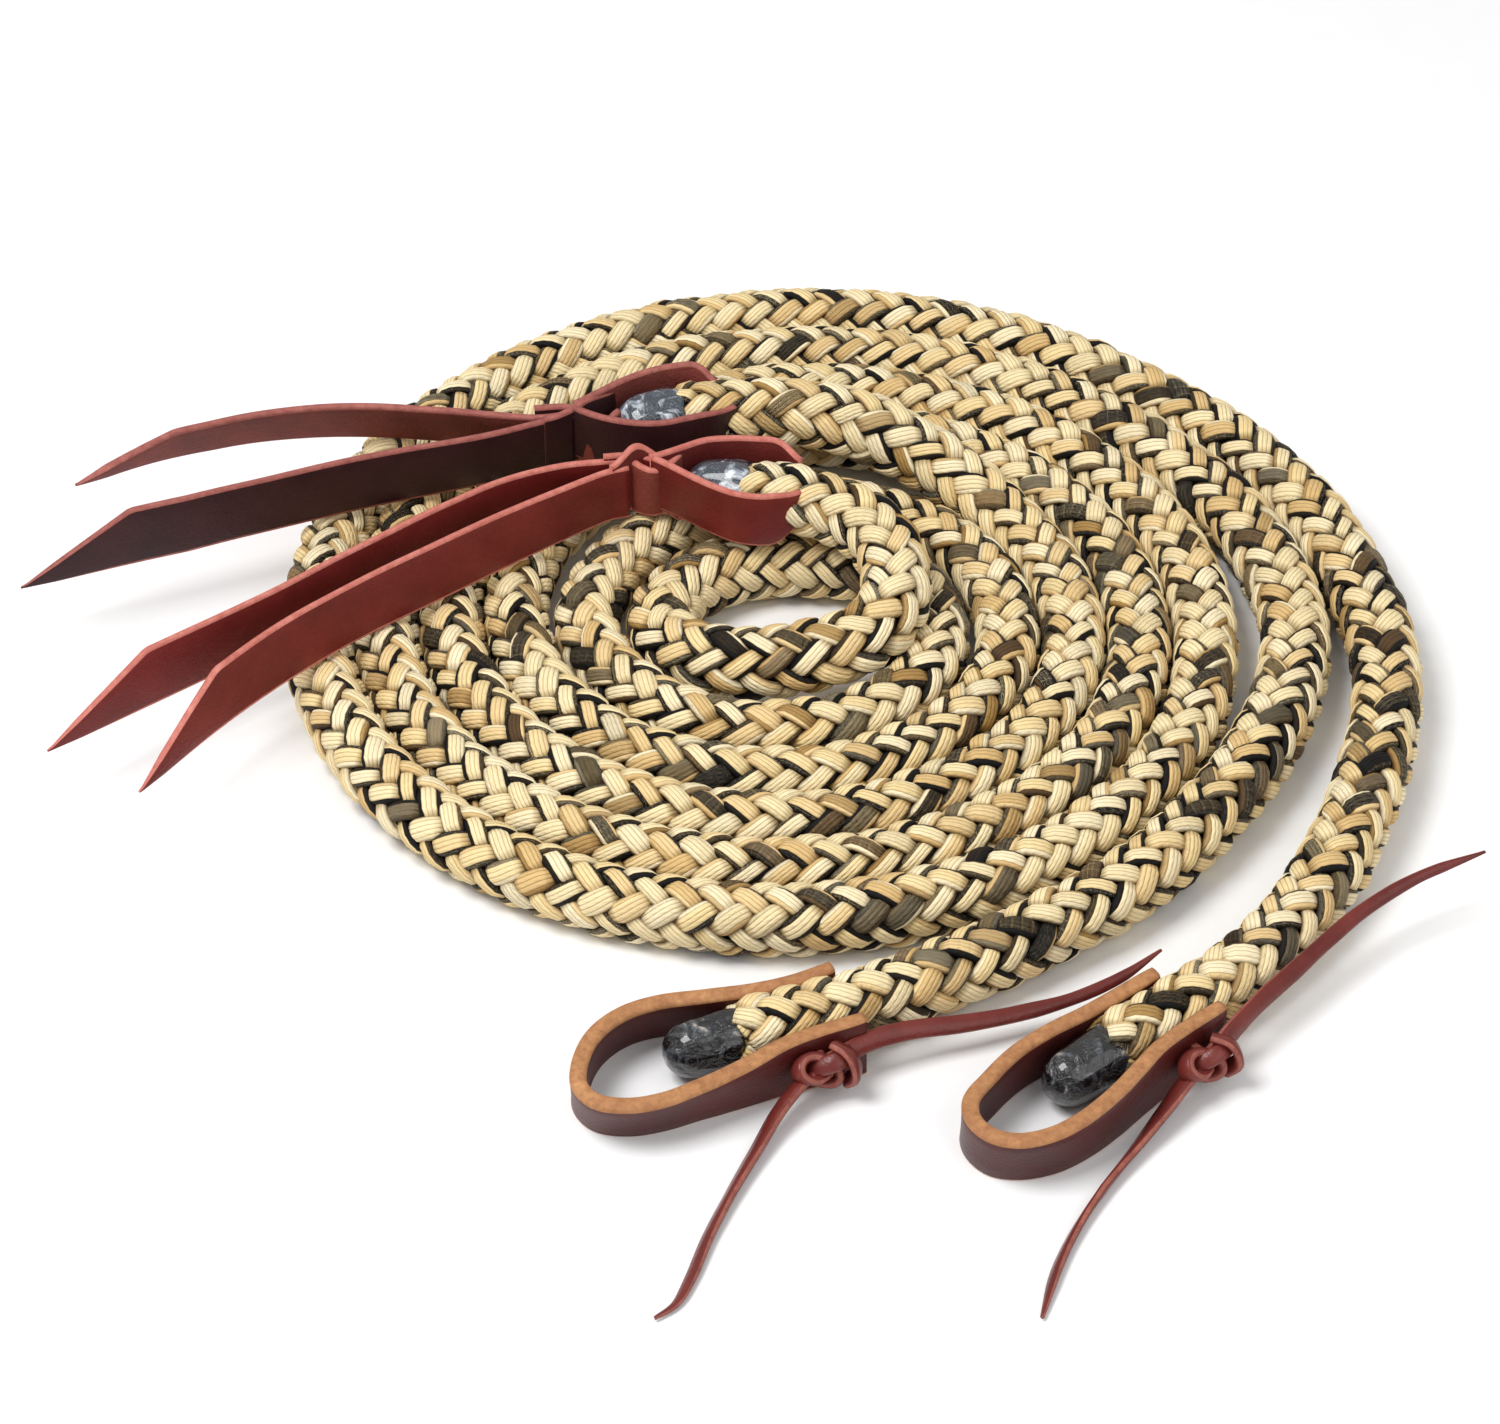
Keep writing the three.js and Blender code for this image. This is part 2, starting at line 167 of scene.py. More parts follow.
def smooth_line(points, step):
    """A centripetal Catmull-Rom curve through the points, sampled evenly along its length."""
    p = np.asarray(points, float)
    p = np.vstack([2 * p[0] - p[1], p, 2 * p[-1] - p[-2]])
    knots = np.concatenate([[0], np.cumsum(np.linalg.norm(np.diff(p, axis=0), axis=1) ** 0.5)])
    dense = []
    for i in range(1, len(p) - 2):
        t = np.linspace(knots[i], knots[i + 1], 24, endpoint=False)[:, None]
        t0, t1, t2, t3 = knots[i - 1 : i + 3]
        a1 = (t1 - t) / (t1 - t0) * p[i - 1] + (t - t0) / (t1 - t0) * p[i]
        a2 = (t2 - t) / (t2 - t1) * p[i] + (t - t1) / (t2 - t1) * p[i + 1]
        a3 = (t3 - t) / (t3 - t2) * p[i + 1] + (t - t2) / (t3 - t2) * p[i + 2]
        b1 = (t2 - t) / (t2 - t0) * a1 + (t - t0) / (t2 - t0) * a2
        b2 = (t3 - t) / (t3 - t1) * a2 + (t - t1) / (t3 - t1) * a3
        dense.append((t2 - t) / (t2 - t1) * b1 + (t - t1) / (t2 - t1) * b2)
    dense.append(p[-2:-1])
    return evenly(np.vstack(dense), step)


def lengths_along(line):
    return np.concatenate([[0], np.cumsum(np.linalg.norm(np.diff(line, axis=0), axis=1))])


def evenly(line, step):
    s = lengths_along(line)
    count = max(2, int(round(s[-1] / step)) + 1)
    at = np.linspace(0, s[-1], count)
    return np.stack([np.interp(at, s, line[:, k]) for k in range(3)], axis=1)


def unit(v):
    return v / np.maximum(np.linalg.norm(v, axis=-1, keepdims=True), 1e-9)


def tangents(line):
    return unit(np.gradient(line, axis=0))


def out_of_frame(end, u, v, z):
    """A point given in a rein end's own frame, in the model's."""
    (x, y), heading = end
    a = math.radians(heading)
    return np.array([x + u * math.cos(a) - v * math.sin(a), y + u * math.sin(a) + v * math.cos(a), z])


# Meshes
def make_mesh(name, vertices, faces, materials, face_materials=None):
    mesh = bpy.data.meshes.new(name)
    points = (np.asarray(vertices) + SHIFT) * MM
    mesh.from_pydata(points.tolist(), [], [tuple(f) for f in faces])
    for material in materials:
        mesh.materials.append(material)
    if face_materials is not None:
        mesh.polygons.foreach_set("material_index", np.asarray(face_materials, np.int32))
    mesh.polygons.foreach_set("use_smooth", np.full(len(mesh.polygons), True))
    mesh.validate()
    mesh.update()
    piece = bpy.data.objects.new(name, mesh)
    bpy.context.scene.collection.objects.link(piece)
    return piece


def add_vectors(piece, name, values):
    attribute = piece.data.attributes.new(name, "FLOAT_VECTOR", "POINT")
    attribute.data.foreach_set("vector", np.asarray(values, np.float32).ravel())


def tube_faces(rings, sides, first=0):
    """Quads between consecutive rings of a swept section, and the two end caps."""
    ring, side = np.meshgrid(np.arange(rings - 1), np.arange(sides), indexing="ij")
    a = first + ring * sides + side
    b = first + ring * sides + (side + 1) % sides
    quads = np.stack([a, b, b + sides, a + sides], axis=-1).reshape(-1, 4)
    faces = quads.tolist()
    faces.append(list(range(first + sides - 1, first - 1, -1)))
    last = first + (rings - 1) * sides
    faces.append(list(range(last, last + sides)))
    return faces


NOISE_VALUES = 4096


def smooth_noise(positions, seed, low, high):
    """One random value for each whole number along positions, joined smoothly."""
    values = np.random.default_rng(seed).uniform(low, high, NOISE_VALUES)
    cell = np.floor(positions).astype(int)
    t = positions - cell
    t = t * t * (3 - 2 * t)
    return (1 - t) * values[cell % NOISE_VALUES] + t * values[(cell + 1) % NOISE_VALUES]


# Materials
class Nodes:
    """A short way to write a material's node tree."""

    def __init__(self, name):
        self.material = bpy.data.materials.new(name)
        self.material.use_nodes = True
        self.tree = self.material.node_tree
        self.tree.nodes.clear()
        output = self.add("ShaderNodeOutputMaterial")
        self.shader = self.add("ShaderNodeBsdfPrincipled")
        self.link(self.shader.outputs["BSDF"], output.inputs["Surface"])

    def add(self, kind, **settings):
        node = self.tree.nodes.new(kind)
        for key, value in settings.items():
            setattr(node, key, value)
        return node

    def link(self, source, target):
        self.tree.links.new(source, target)

    def put(self, value, socket):
        if isinstance(value, bpy.types.NodeSocket):
            self.link(value, socket)
        else:
            socket.default_value = value

    def math(self, operation, a, b=0.0, c=0.0, clamp=False):
        node = self.add("ShaderNodeMath", operation=operation, use_clamp=clamp)
        for value, socket in zip((a, b, c), node.inputs):
            self.put(value, socket)
        return node.outputs[0]

    def mix_values(self, factor, a, b):
        node = self.add("ShaderNodeMix")
        for value, socket in zip((factor, a, b), (node.inputs[0], node.inputs[2], node.inputs[3])):
            self.put(value, socket)
        return node.outputs[0]

    def mix(self, factor, a, b, blend="MIX"):
        node = self.add("ShaderNodeMix", data_type="RGBA", blend_type=blend)
        self.put(factor, node.inputs[0])
        self.put(a, node.inputs[6])
        self.put(b, node.inputs[7])
        return node.outputs[2]

    def ramp(self, value, stops, interpolation="LINEAR"):
        node = self.add("ShaderNodeValToRGB")
        node.color_ramp.interpolation = interpolation
        elements = node.color_ramp.elements
        while len(elements) < len(stops):
            elements.new(0.5)
        for element, (position, colour) in zip(elements, stops):
            element.position = position
            element.color = colour if len(colour) == 4 else (*colour, 1)
        self.link(value, node.inputs[0])
        return node.outputs[0]

    def attribute(self, name):
        node = self.add("ShaderNodeAttribute", attribute_name=name)
        parts = self.add("ShaderNodeSeparateXYZ")
        self.link(node.outputs["Vector"], parts.inputs[0])
        return parts.outputs[0], parts.outputs[1], parts.outputs[2]

    def vector(self, x, y, z):
        node = self.add("ShaderNodeCombineXYZ")
        for value, socket in zip((x, y, z), node.inputs):
            self.put(value, socket)
        return node.outputs[0]

    def place(self):
        return self.add("ShaderNodeTexCoord").outputs["Object"]

    def noise(self, where, scale, detail=3.0, roughness=0.55, distortion=0.0):
        node = self.add("ShaderNodeTexNoise")
        self.link(where, node.inputs["Vector"])
        node.inputs["Scale"].default_value = scale
        node.inputs["Detail"].default_value = detail
        node.inputs["Roughness"].default_value = roughness
        node.inputs["Distortion"].default_value = distortion
        return node.outputs[0]

    def cells(self, where, scale):
        node = self.add("ShaderNodeTexVoronoi", feature="F1")
        self.link(where, node.inputs["Vector"])
        node.inputs["Scale"].default_value = scale
        return node.outputs["Distance"]

    def white(self, where):
        node = self.add("ShaderNodeTexWhiteNoise", noise_dimensions="3D")
        self.link(where, node.inputs["Vector"])
        return node.outputs["Value"]

    def bump(self, height, strength, distance):
        node = self.add("ShaderNodeBump")
        node.inputs["Strength"].default_value = strength
        node.inputs["Distance"].default_value = distance
        self.link(height, node.inputs["Height"])
        return node.outputs[0]

    def finish(self, colour, roughness, normal=None, **constants):
        self.put(colour, self.shader.inputs["Base Color"])
        self.put(roughness, self.shader.inputs["Roughness"])
        if normal is not None:
            self.link(normal, self.shader.inputs["Normal"])
        for key, value in constants.items():
            self.shader.inputs[key.replace("_", " ")].default_value = value
        return self.material


def rgb(text):
    """A display colour such as e8d2a0, as the shader's linear colour."""
    parts = [int(text[i : i + 2], 16) / 255 for i in (0, 2, 4)]
    return tuple(c / 12.92 if c <= 0.04045 else ((c + 0.055) / 1.055) ** 2.4 for c in parts) + (1,)


YARNS_PER_STRAND = 5


def yarn_material():
    """Attribute "strand": x across the strand from -1 to 1, y floats along it, z the strand's number.
    Attribute "lie": x how high the strand rides, from 0 tucked under to 1 on top; low yarn is given painted
    shade."""
    n = Nodes("braided_yarn")
    across, along, strand = n.attribute("strand")
    height, _, _ = n.attribute("lie")
    yarn_place = n.math("MULTIPLY_ADD", across, 0.499 * YARNS_PER_STRAND, 0.5 * YARNS_PER_STRAND)
    yarn = n.math("FLOOR", yarn_place)
    in_yarn = n.math("SUBTRACT", n.math("FRACT", yarn_place), 0.5)
    float_number = n.math("FLOOR", n.math("ADD", along, 0.5))

    # The middle yarns of a float are alike and mostly pale; the outer ones are often black
    middle = n.math("LESS_THAN", n.math("ABSOLUTE", n.math("SUBTRACT", yarn, 2.0)), 1.5)
    alike = n.mix_values(middle, yarn, 2.0)
    draw = n.white(n.vector(alike, float_number, strand))
    draw = n.mix_values(middle, n.math("ADD", draw, 0.36), n.math("MULTIPLY", draw, 0.9))
    whole = n.white(n.vector(float_number, strand, 7.3))
    draw = n.math("MULTIPLY_ADD", n.math("GREATER_THAN", whole, 0.95), 0.3, draw)
    draw = n.math("MULTIPLY", draw, n.math("GREATER_THAN", whole, 0.12))
    colour = n.ramp(
        n.math("MULTIPLY", draw, 0.8),
        [
            (0.0, rgb("f7e7bd")),
            (0.15, rgb("f2dca8")),
            (0.28, rgb("faeecd")),
            (0.42, rgb("edd29e")),
            (0.52, rgb("dcbc84")),
            (0.60, rgb("a8864f")),
            (0.63, rgb("57422a")),
            (0.66, rgb("17110c")),
            (0.76, rgb("0c0a09")),
        ],
        "CONSTANT",
    )
    fibres = n.noise(
        n.vector(n.math("MULTIPLY", across, 7.0), n.math("MULTIPLY", along, 1.3), strand), 2.2, 4.0, 0.7
    )
    shade = n.ramp(fibres, [(0.25, (0.74, 0.69, 0.60)), (0.7, (1.08, 1.06, 1.02))])
    colour = n.mix(1.0, colour, shade, "MULTIPLY")
    # Painted shade: yarn is darkened towards near-black the lower it rides under the crossing strands
    tucked = n.ramp(height, [(0.15, (0.02, 0.015, 0.01)), (0.6, (0.42, 0.36, 0.27)), (0.88, (1, 1, 1))])
    colour = n.mix(1.0, colour, tucked, "MULTIPLY")
    # Painted shade in the grooves between neighbouring yarns
    groove_shade = n.ramp(n.math("ABSOLUTE", in_yarn), [(0.38, (1, 1, 1)), (0.5, (0.66, 0.56, 0.42))])
    colour = n.mix(1.0, colour, groove_shade, "MULTIPLY")
    # Painted shade on the strand's sides, where it turns down between its neighbours
    side = n.ramp(n.math("ABSOLUTE", across), [(0.8, (1, 1, 1)), (1.0, (0.22, 0.17, 0.12))])
    colour = n.mix(1.0, colour, side, "MULTIPLY")

    ridge = n.math("SQRT", n.math("SUBTRACT", 1.0, n.math("POWER", n.math("MULTIPLY", in_yarn, 1.96), 2.0)))
    twist = n.math("SINE", n.math("MULTIPLY_ADD", along, 62.0, n.math("MULTIPLY", in_yarn, 7.0)))
    relief = n.math("MULTIPLY_ADD", twist, 0.10, ridge)
    relief = n.math("MULTIPLY_ADD", fibres, 0.35, relief)
    normal = n.bump(relief, 0.7, 0.0005)
    roughness = n.math("MULTIPLY_ADD", fibres, 0.2, 0.62)
    return n.finish(colour, roughness, normal, Specular_IOR_Level=0.25)


def core_material():
    n = Nodes("rope_core_painted_shade")
    speck = n.noise(n.place(), 900, 3.0)
    # Painted shade: the core is coloured near-black brown for the shade seen between the strands
    colour = n.ramp(speck, [(0.3, rgb("100c09")), (0.7, rgb("2c2117"))])
    return n.finish(colour, 0.9, n.bump(speck, 0.5, 0.0005))


def leather_material(name, dark, light, roughness=0.42, grain=0.35):
    """A finished leather face: mottled colour, fine pebble grain and a soft coat."""
    n = Nodes(name)
    where = n.place()
    clouds = n.noise(where, 55, 4.0, 0.6)
    fine = n.noise(where, 700, 3.0, 0.6)
    colour = n.mix(n.math("MULTIPLY_ADD", clouds, 1.5, -0.25, clamp=True), dark, light)
    pores = n.cells(where, 1500)
    colour = n.mix(n.math("MULTIPLY", fine, 0.35), colour, dark)
    relief = n.math("ADD", n.math("MULTIPLY", pores, 0.6), n.math("MULTIPLY", fine, 0.8))
    rough = n.math("MULTIPLY_ADD", clouds, 0.22, roughness - 0.1)
    normal = n.bump(relief, grain, 0.0004)
    return n.finish(
        colour, rough, normal, Specular_IOR_Level=0.3, Coat_Weight=0.06, Coat_Roughness=0.35
    )


def cut_edge_material(name, dark, light):
    """Raw cut leather: packed fibres, rough, with darker streaks."""
    n = Nodes(name)
    where = n.place()
    fibres = n.noise(where, 420, 5.0, 0.75)
    stains = n.noise(where, 60, 3.0, 0.6)
    colour = n.mix(n.math("MULTIPLY_ADD", fibres, 1.9, -0.45, clamp=True), dark, light)
    colour = n.mix(n.math("MULTIPLY_ADD", stains, 1.2, -0.45, clamp=True), colour, dark)
    return n.finish(colour, 0.72, n.bump(fibres, 0.5, 0.0006))


def dipped_material(name, dark, pale, glint):
    """The dip on the rope's ends: glossy and crinkled, with painted highlights and glints on the folds."""
    n = Nodes(name)
    where = n.place()
    crinkle = n.noise(where, 210, 4.0, 0.6, 0.8)
    fine = n.noise(where, 900, 3.0, 0.6)
    # Painted highlights: pale and glint colour the upper range of the crinkle noise
    colour = n.ramp(crinkle, [(0.40, dark), (0.52, dark), (0.62, pale), (0.70, glint)])
    relief = n.math("MULTIPLY_ADD", fine, 0.15, crinkle)
    rough = n.math("MULTIPLY_ADD", fine, 0.2, 0.08)
    return n.finish(colour, rough, n.bump(relief, 1.0, 0.0022), Coat_Weight=0.8, Coat_Roughness=0.06)


def floor_material():
    n = Nodes("pale_floor")
    speck = n.noise(n.place(), 60, 3.0)
    colour = n.mix(speck, rgb("f2f2f2"), rgb("f6f6f6"))
    return n.finish(colour, 0.85)


YARN = yarn_material()
CORE = core_material()
# The last two colours of each dip are painted highlights and glints
BIT_DIP = dipped_material("black_dip", rgb("0a0b0d"), rgb("4a4f55"), rgb("a89c8c"))
POPPER_DIP = dipped_material("grey_dip_painted_highlights", rgb("3a424b"), rgb("b4bcc6"), rgb("f6f8fb"))
LOOP_FACE = leather_material("loop_leather", rgb("370e0c"), rgb("5f201b"))
LOOP_BACK = leather_material("loop_flesh_side", rgb("370f0c"), rgb("5c1f19"), 0.6)
LOOP_EDGE = cut_edge_material("loop_cut_edge", rgb("885430"), rgb("cb9460"))
LACE = leather_material("lace_leather", rgb("4a1715"), rgb("863a32"), 0.3, 0.25)
LACE_EDGE = cut_edge_material("lace_cut_edge", rgb("6a2c24"), rgb("b86e5c"))
POPPER_A = leather_material("popper_leather_a", rgb("1f0d0e"), rgb("421c1f"), 0.42)
POPPER_A_BACK = leather_material("popper_flesh_a", rgb("55221f"), rgb("984a3f"), 0.72, 0.7)
POPPER_B = leather_material("popper_leather_b", rgb("541412"), rgb("822924"), 0.4)
POPPER_B_BACK = leather_material("popper_flesh_b", rgb("4c1716"), rgb("782b26"), 0.5)
POPPER_EDGE_B = cut_edge_material("popper_cut_edge_b", rgb("a54c40"), rgb("d98c7d"))
POPPER_EDGE_A = cut_edge_material("popper_cut_edge_a", rgb("78352f"), rgb("b87064"))
POPPER_FLESH = leather_material("popper_flesh_band", rgb("64261f"), rgb("94483c"), 0.6, 0.5)


# Rope: sixteen strands, each over two and under two of those that turn the other way
CARRIERS_EACH_WAY = 8
LAY_LENGTH = 64.0
ROPE_STEP = 1.7
STRAND_SECTION = [
    (-1.0, -0.10), (-0.82, 0.52), (-0.42, 0.92), (0.0, 1.0), (0.42, 0.92), (0.82, 0.52), (1.0, -0.10),
    (0.6, -0.72), (0.0, -0.85), (-0.6, -0.72),
]
STRAND_HALF_WIDTH = 2.75
STRAND_HALF_HEIGHT = 1.62
STRAND_MEAN_RADIUS = 6.5
STRAND_RIDE = 1.35
CORE_RADIUS = 5.7
COIL_SQUEEZE = 0.895
SQUEEZE_RAMP = 45
END_TAPER = 5.0
CORE_SIDES = 12
CORE_EVERY = 3  # rings of the strands to one of the core
# Yarn lower than this is pressed flat towards the floor, down to a gap of FLOOR_GAP
PRESSED_BELOW = 1.2
PRESSED_FROM = -0.6
FLOOR_GAP = 0.15


def rope_frames(line):
    """The directions to the rope's left and to its top, all along it."""
    along = tangents(line)
    side = unit(np.cross(np.array([0.0, 0.0, 1.0]), along))
    return side, np.cross(along, side)


def squeeze_of(s, spans):
    """How much narrower the rope is at each place on its left and on its right side."""
    left, right = np.ones_like(s), np.ones_like(s)
    for begin, end, on_left, on_right in spans:
        share = np.clip((s - begin) / SQUEEZE_RAMP, 0, 1) * np.clip((end - s) / SQUEEZE_RAMP + 1, 0, 1)
        left = np.minimum(left, 1 - (1 - COIL_SQUEEZE) * share * on_left)
        right = np.minimum(right, 1 - (1 - COIL_SQUEEZE) * share * on_right)
    return left, right


def braid_strand(line, s, side, up, left, right, number, seed):
    """One strand's vertices and attributes. Numbers below CARRIERS_EACH_WAY turn one way round the rope."""
    crossing = s / (LAY_LENGTH / (2 * CARRIERS_EACH_WAY))
    first_way = number < CARRIERS_EACH_WAY
    k = number if first_way else number - CARRIERS_EACH_WAY
    turn = 1 if first_way else -1
    floats = (crossing + 2 * k - 0.5) / 4 if first_way else (2 * k - crossing - 2.5) / 4
    floats = floats + 300
    ride = np.tanh(1.5 * np.cos(2 * math.pi * floats)) / math.tanh(1.5)
    wander = smooth_noise(floats * 2, seed, -0.07, 0.07)
    angle = 2 * math.pi * (k / CARRIERS_EACH_WAY + turn * s / LAY_LENGTH) + wander
    plump = smooth_noise(floats, seed + 1, 0.88, 1.14)
    lift = smooth_noise(floats, seed + 2, -0.28, 0.3)
    taper = np.clip(np.minimum(s, s[-1] - s) / END_TAPER, 0, 1)
    taper = 0.84 + 0.16 * taper * taper * (3 - 2 * taper)
    radius = (STRAND_MEAN_RADIUS + STRAND_RIDE * ride + lift) * taper
    outward = np.cos(angle)
    squeeze = np.where(outward > 0, left, right)
    radial = np.cos(angle)[:, None] * side * squeeze[:, None] + np.sin(angle)[:, None] * up
    centre = line + radius[:, None] * radial
    along = tangents(centre)
    normal = unit(radial - along * np.sum(radial * along, axis=1, keepdims=True))
    across = np.cross(along, normal)
    half_width = STRAND_HALF_WIDTH * plump * (0.86 + 0.17 * ride)
    half_height = STRAND_HALF_HEIGHT * plump * (0.8 + 0.22 * ride) * taper
    section = np.array(STRAND_SECTION)
    vertices = (
        centre[:, None, :]
        + (half_width[:, None] * section[:, 0])[:, :, None] * across[:, None, :]
        + (half_height[:, None] * section[:, 1])[:, :, None] * normal[:, None, :]
    )
    rings, sides = len(s), len(section)
    strand = np.zeros((rings, sides, 3))
    strand[:, :, 0] = section[:, 0]
    strand[:, :, 1] = floats[:, None]
    strand[:, :, 2] = number + seed % 97
    lie = np.zeros((rings, sides, 3))
    lie[:, :, 0] = (0.5 + 0.5 * ride)[:, None]
    return vertices.reshape(-1, 3), strand.reshape(-1, 3), lie.reshape(-1, 3)


def braided_rope(name, route, spans, seed):
    """A whole rope as one mesh: its strands and the core between them. Returns it and its centreline."""
    line = smooth_line(in_3d(route), ROPE_STEP)
    s = lengths_along(line)
    side, up = rope_frames(line)
    left, right = squeeze_of(s, spans)
    vertices, strands, lies, faces, slots = [], [], [], [], []
    count = 0
    for number in range(2 * CARRIERS_EACH_WAY):
        v, strand, lie = braid_strand(line, s, side, up, left, right, number, seed + 11 * number)
        new = tube_faces(len(s), len(STRAND_SECTION), count)
        vertices.append(v)
        strands.append(strand)
        lies.append(lie)
        faces += new
        slots += [0] * len(new)
        count += len(v)
    angles = np.arange(CORE_SIDES) * 2 * math.pi / CORE_SIDES
    rings = line[::CORE_EVERY]
    core = (
        rings[:, None, :]
        + CORE_RADIUS * 0.9 * np.cos(angles)[None, :, None] * side[::CORE_EVERY][:, None, :]
        + CORE_RADIUS * np.sin(angles)[None, :, None] * up[::CORE_EVERY][:, None, :]
    ).reshape(-1, 3)
    new = tube_faces(len(rings), CORE_SIDES, count)
    vertices.append(core)
    strands.append(np.zeros_like(core))
    lies.append(np.zeros_like(core))
    faces += new
    slots += [1] * len(new)
    all_vertices = np.vstack(vertices)
    heights = all_vertices[:, 2]
    low = heights < PRESSED_BELOW
    pressed = np.maximum(heights[low] - PRESSED_FROM, 0) * (PRESSED_BELOW - FLOOR_GAP)
    heights[low] = FLOOR_GAP + pressed / (PRESSED_BELOW - PRESSED_FROM)
    rope = make_mesh(name, all_vertices, faces, [YARN, CORE], slots)
    add_vectors(rope, "strand", np.vstack(strands))
    add_vectors(rope, "lie", np.vstack(lies))
    return rope, line


# Lengths along each rope over which other turns press on it: from, to, on its left, on its right
rope_a, line_a = braided_rope(
    "rein_a_rope", ROUTE_A, [(-60, 30, 1, 1), (330, 700, 1, 0), (700, 1560, 1, 1)], seed=101
)
rope_b, line_b = braided_rope(
    "rein_b_rope", ROUTE_B, [(-60, 30, 1, 1), (330, 1700, 1, 1)], seed=977
)


def declare_rope(rein):
    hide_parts(f"{rein}_rope_coil", f"{rein}_rope_bit_end")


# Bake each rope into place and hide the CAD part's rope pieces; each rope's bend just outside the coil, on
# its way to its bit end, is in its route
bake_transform(rope_a)
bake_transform(rope_b)
declare_rope("rein_a")
declare_rope("rein_b")


# Leather straps, standing on edge
FACE, EDGE, BACK, FLESH = range(4)
# Around a strap's section: across in half thicknesses, up in heights, and the surface that starts there
STRAP_SECTION = [
    (1.00, 0.04, FACE), (1.05, 0.25, FACE), (1.08, 0.50, FACE), (1.05, 0.75, FACE), (1.00, 0.95, EDGE),
    (0.84, 0.99, EDGE), (0.42, 1.005, EDGE), (0.0, 1.01, EDGE), (-0.42, 1.005, EDGE), (-0.84, 0.99, EDGE),
    (-1.00, 0.95, BACK), (-0.94, 0.75, BACK), (-0.92, 0.50, BACK), (-0.94, 0.25, BACK), (-1.00, 0.04, EDGE),
    (-0.80, 0.0, EDGE), (0.0, -0.005, EDGE), (0.80, 0.0, EDGE),
]


def strap_frames(line, lean):
    """Across (to the left of travel) and up for a strap whose top leans towards -Y by the angles given."""
    up = np.stack([np.zeros_like(lean), -np.sin(lean), np.cos(lean)], axis=1)
    return unit(np.cross(up, tangents(line))), up


def strap_mesh(line, lean, thickness, height):
    """A strap along its bottom edge's line. Returns vertices, faces and the faces' surfaces."""
    across, up = strap_frames(line, lean)
    section = np.array([(a, b) for a, b, _ in STRAP_SECTION])
    vertices = (
        line[:, None, :]
        + (0.5 * thickness[:, None] * section[:, 0])[:, :, None] * across[:, None, :]
        + (height[:, None] * section[:, 1])[:, :, None] * up[:, None, :]
    )
    rings, sides = len(line), len(section)
    surfaces = [kind for _, _, kind in STRAP_SECTION] * (rings - 1) + [EDGE, EDGE]
    return vertices.reshape(-1, 3), tube_faces(rings, sides), surfaces


def join(parts):
    """Several (vertices, faces, surfaces) as one."""
    vertices, faces, surfaces = [], [], []
    count = 0
    for v, f, kinds in parts:
        vertices.append(v)
        faces += [[i + count for i in face] for face in f]
        surfaces += kinds
        count += len(v)
    return np.vstack(vertices), faces, surfaces


def leather_piece(name, body, node, parts, materials):
    vertices, faces, surfaces = join(parts)
    piece = make_mesh(name, vertices, faces, materials, surfaces)
    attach(piece, body)
    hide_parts(node)


def top_edge_line(points, step=1.2):
    """The bottom edge of a strap whose top edge is seen at the points (x, y, lean in degrees)."""
    dense = smooth_line(points, step)
    lean = np.radians(dense[:, 2])
    sag = STRAP_WIDTH * (1 - np.cos(lean))
    line = dense.copy()
    line[:, 1] += STRAP_WIDTH * np.sin(lean) + sag / math.tan(CAMERA_ELEVATION)
    return line, lean


def wavy(s, seed, size, period=22.0):
    """A gentle random waver of up to size each way, along a length."""
    return smooth_noise(s / period + 40, seed, -size, size)


# Bit loops: the strap's top edge, with how far its top leans towards the front, in degrees
LOOP_TOPS = {
    "rein_a": [
        (96.5, -104.4, 8), (87.2, -112, 10), (79.3, -118.2, 12), (70.6, -124.3, 13), (62.8, -131.2, 14),
        (56, -140, 15), (51.3, -148, 16), (51.8, -154.6, 16), (56, -159.4, 15), (62, -160.8, 15),
        (70, -158.4, 13), (78, -152.6, 11), (85, -145, 8), (91, -136.6, 3), (96.6, -128.9, -4),
        (103.4, -122.4, -6), (111.5, -115.6, -7),
    ],
    "rein_b": [
        (19.5, -101.6, 3), (10.5, -106.8, 5), (1, -110.5, 11), (-10, -112.4, 17), (-21, -114.2, 20),
        (-30, -118.4, 22), (-36.6, -126, 23), (-39.8, -135.6, 24), (-39.6, -143.2, 24),
        (-35.6, -148.2, 24), (-28, -149.6, 24), (-20, -147.8, 24), (-11.5, -143, 21), (-1, -135.6, 12),
        (8.6, -128, 0), (17, -123.6, -6), (27, -119.4, -7),
    ],
}
LOOP_THICKNESS = 4.1
LOOP_END_EASE = 5


def add_bit_loop(rein, seed):
    line, lean = top_edge_line(LOOP_TOPS[rein])
    s = lengths_along(line)
    lean = lean + np.radians(wavy(s, seed, 1.2))
    end = np.clip(np.minimum(s, s[-1] - s) / LOOP_END_EASE, 0, 1)
    thickness = LOOP_THICKNESS * (0.86 + 0.14 * np.sqrt(end)) * (1 + wavy(s, seed + 1, 0.04))
    height = STRAP_WIDTH * (1 + wavy(s, seed + 2, 0.015))
    line[:, 2] = 0.35 + np.abs(wavy(s, seed + 3, 0.25))
    loop = strap_mesh(line, lean, thickness, height)
    leather_piece(
        f"{rein}_bit_loop_strap", f"{rein}_bit_end", f"{rein}_bit_loop", [loop],
        [LOOP_BACK, LOOP_EDGE, LOOP_FACE],
    )


# Rounded dipped tips
NOSE_LENGTH = 10.5
TIP_RINGS, TIP_SIDES = 30, 40


